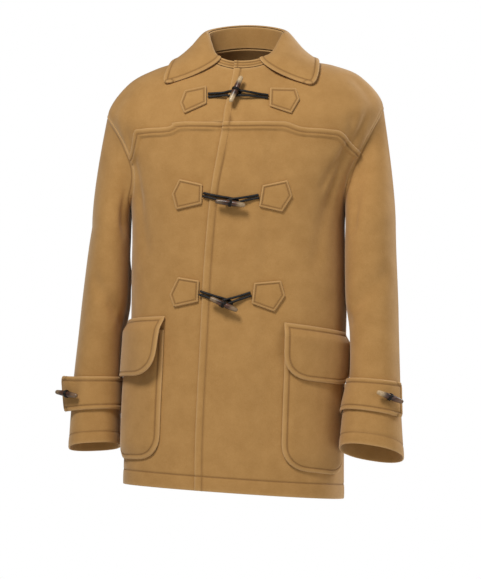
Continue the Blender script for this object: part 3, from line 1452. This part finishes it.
class DuffleTrim(bpy.types.PropertyGroup):
    """Sizes and colours of the cords, toggles and stitches."""

    cord: colour_setting("Cord", "Colour of the leather cord", "#0D0B09")
    horn: colour_setting("Horn", "Colour of the lighter streaks of horn", "#5C3826")
    horn_dark: colour_setting("Dark horn", "Colour of the darker streaks of horn", "#24140D")
    horn_pale: colour_setting("Pale horn", "Colour of the horn's tips", "#C9AE86")
    thread: colour_setting("Thread", "Colour of the top stitching", "#A67C46")
    stitch: length_setting("Stitch length", "Length of one stitch that shows", 2.6)
    pitch: length_setting("Stitch spacing", "Distance from one stitch to the next", 3.7)


# ---------------------------------------------------------------- operators
class DUFFLE_OT_stage(bpy.types.Operator):
    """Adds the camera, the soft lights, the white surround and the pale floor"""

    bl_idname = "duffle.stage"
    bl_label = "Camera and stage"

    def execute(self, context):
        build_stage(context.scene)
        return {"FINISHED"}


class DUFFLE_OT_cords(bpy.types.Operator):
    """Adds the six cord loops and the ties of the cuff toggles"""

    bl_idname = "duffle.cords"
    bl_label = "Cords"

    def execute(self, context):
        for row in each(LOOPS):
            build_loop(row)
        for row in each(CUFF_TOGGLES):
            build_tie(row)
        return {"FINISHED"}


class DUFFLE_OT_toggles(bpy.types.Operator):
    """Adds the horn toggles of the front and the cuffs, each bound with cord"""

    bl_idname = "duffle.toggles"
    bl_label = "Toggles"

    def execute(self, context):
        for row in each(TOGGLES):
            low, high = (over_front(row[f"{end}X"], row[f"{end}Z"], row["lift"]) for end in ("from", "to"))
            build_toggle(row["name"], low, high, row["paleFrom"], row["paleTo"])
        for row in each(CUFF_TOGGLES):
            middle, reach, _ = cuff_toggle_places(row)
            name = f"cuff_toggle_{row['side']}"
            build_toggle(name, middle - reach, middle + reach, row["paleFrom"], row["paleTo"])
        return {"FINISHED"}


class DUFFLE_OT_fronts(bpy.types.Operator):
    """Adds the two fronts, from the yoke seam to the hem"""

    bl_idname = "duffle.fronts"
    bl_label = "Fronts"

    def execute(self, context):
        for side in (-1, 1):
            build_front(side)
        return {"FINISHED"}


class DUFFLE_OT_back(bpy.types.Operator):
    """Adds the back, from the yoke seam to the hem"""

    bl_idname = "duffle.back"
    bl_label = "Back"

    def execute(self, context):
        build_back()
        return {"FINISHED"}


class DUFFLE_OT_yoke(bpy.types.Operator):
    """Adds the yoke over both shoulders"""

    bl_idname = "duffle.yoke"
    bl_label = "Shoulder yoke"

    def execute(self, context):
        build_yoke()
        return {"FINISHED"}


class DUFFLE_OT_collar(bpy.types.Operator):
    """Adds the neckband and the turned-down collar"""

    bl_idname = "duffle.collar"
    bl_label = "Neckband and collar"

    def execute(self, context):
        build_neckband()
        build_collar()
        return {"FINISHED"}


class DUFFLE_OT_sleeves(bpy.types.Operator):
    """Adds the two sleeves and their cuff straps"""

    bl_idname = "duffle.sleeves"
    bl_label = "Sleeves and cuff straps"

    def execute(self, context):
        for side in (-1, 1):
            build_sleeve(side)
        for row in each(STRAPS):
            build_strap(row)
        return {"FINISHED"}


class DUFFLE_OT_tabs(bpy.types.Operator):
    """Adds the six tabs that hold the cords"""

    bl_idname = "duffle.tabs"
    bl_label = "Tabs"

    def execute(self, context):
        for row in each(TABS):
            build_tab(row)
        return {"FINISHED"}


class DUFFLE_OT_pockets(bpy.types.Operator):
    """Adds the two patch pockets and their flaps"""

    bl_idname = "duffle.pockets"
    bl_label = "Pockets and flaps"

    def execute(self, context):
        for side in (-1, 1):
            build_pocket(side)
            build_flap(side)
        return {"FINISHED"}


class DUFFLE_OT_stitching(bpy.types.Operator):
    """Adds the top stitching along the sewn lines of the pieces made before it"""

    bl_idname = "duffle.stitching"
    bl_label = "Top stitching"

    def execute(self, context):
        build_stitches()
        return {"FINISHED"}


class DUFFLE_PT_coat(bpy.types.Panel):
    """Settings and pieces of the duffle coat"""

    bl_label = "Duffle coat"
    bl_space_type = "VIEW_3D"
    bl_region_type = "UI"
    bl_category = "Coat"

    def draw(self, context):
        column = self.layout.column()
        for group in (context.scene.duffle_cloth, context.scene.duffle_trim):
            for name in group.__annotations__:
                column.prop(group, name)
        for operator in OPERATORS:
            column.operator(operator.bl_idname)


OPERATORS = (DUFFLE_OT_stage, DUFFLE_OT_cords, DUFFLE_OT_toggles, DUFFLE_OT_yoke, DUFFLE_OT_back,
             DUFFLE_OT_fronts, DUFFLE_OT_collar, DUFFLE_OT_sleeves, DUFFLE_OT_tabs,
             DUFFLE_OT_pockets, DUFFLE_OT_stitching)
CLASSES = (DuffleCloth, DuffleTrim, *OPERATORS, DUFFLE_PT_coat)


# ---------------------------------------------------------------- stage
def area_light(scene, name, place, target, size, power, colour):
    light = bpy.data.lights.new(name, "AREA")
    light.shape = "DISK"
    light.size = size
    light.energy = power
    light.color = colour
    lamp = bpy.data.objects.new(name, light)
    lamp.location = place
    lamp.rotation_euler = (Vector(target) - Vector(place)).to_track_quat("-Z", "Y").to_euler()
    scene.collection.objects.link(lamp)


SURROUND = 0.21  # light of the surround on the coat; the camera sees it at 1


def build_stage(scene):
    """Camera far in front with a long lens, white surround, pale floor and three soft lights."""
    camera = bpy.data.objects.new("camera", bpy.data.cameras.new("camera"))
    camera.data.lens = 726
    camera.data.sensor_width = 36
    camera.data.clip_end = 40
    camera.location = (0.0034, -20.0, -0.4071)
    camera.rotation_euler = (math.pi / 2, 0, 0)
    scene.collection.objects.link(camera)
    scene.camera = camera
    scene.view_settings.view_transform = "Standard"

    world = bpy.data.worlds.new("White surround")
    world.use_nodes = True
    tree = world.node_tree
    tree.nodes.clear()
    seen = add(tree, "ShaderNodeLightPath").outputs["Is Camera Ray"]
    strength = times(tree, times(tree, seen, 1 - SURROUND), SURROUND, "ADD")
    white = {"Color": (1.0, 1.0, 1.0, 1.0), "Strength": strength}
    surround = add(tree, "ShaderNodeBackground", white)
    add(tree, "ShaderNodeOutputWorld", {"Surface": surround.outputs[0]})
    scene.world = world

    middle = (0.0, 0.0, -0.4)
    area_light(scene, "key", (-1.0, -2.3, 2.15), (0.0, 0.0, -0.2), 1.1, 94, (1.0, 0.98, 0.95))
    area_light(scene, "fill", (2.2, -2.2, -0.2), middle, 1.6, 12, (0.97, 0.98, 1.0))
    area_light(scene, "rim", (2.2, 1.4, 0.6), middle, 1.2, 50, (1.0, 1.0, 1.0))

    across = np.linspace(-4000, 4000, 9)
    x, y = np.meshgrid(across, across + 600)
    points = np.stack([x, y, np.full(x.shape, -1400.0)], -1).reshape(-1, 3)
    floor = new_mesh("floor", points, grid_faces(9, 9)[:, ::-1])
    material = bpy.data.materials.new("Painted board")
    material.use_nodes = True
    tree = material.node_tree
    shader = tree.nodes["Principled BSDF"]
    shader.inputs["Base Color"].default_value = (0.8, 0.79, 0.77, 1.0)
    shader.inputs["Roughness"].default_value = 0.8
    floor.data.materials.append(material)


def register():
    for kind in CLASSES:
        bpy.utils.register_class(kind)
    bpy.types.Scene.duffle_cloth = PointerProperty(type=DuffleCloth)
    bpy.types.Scene.duffle_trim = PointerProperty(type=DuffleTrim)


def unregister():
    del bpy.types.Scene.duffle_trim
    del bpy.types.Scene.duffle_cloth
    for kind in reversed(CLASSES):
        bpy.utils.unregister_class(kind)


def main():
    """Builds the coat piece by piece."""
    register()
    for operator in OPERATORS:
        group, name = operator.bl_idname.split(".")
        getattr(getattr(bpy.ops, group), name)()


if __name__ == "__main__":
    main()
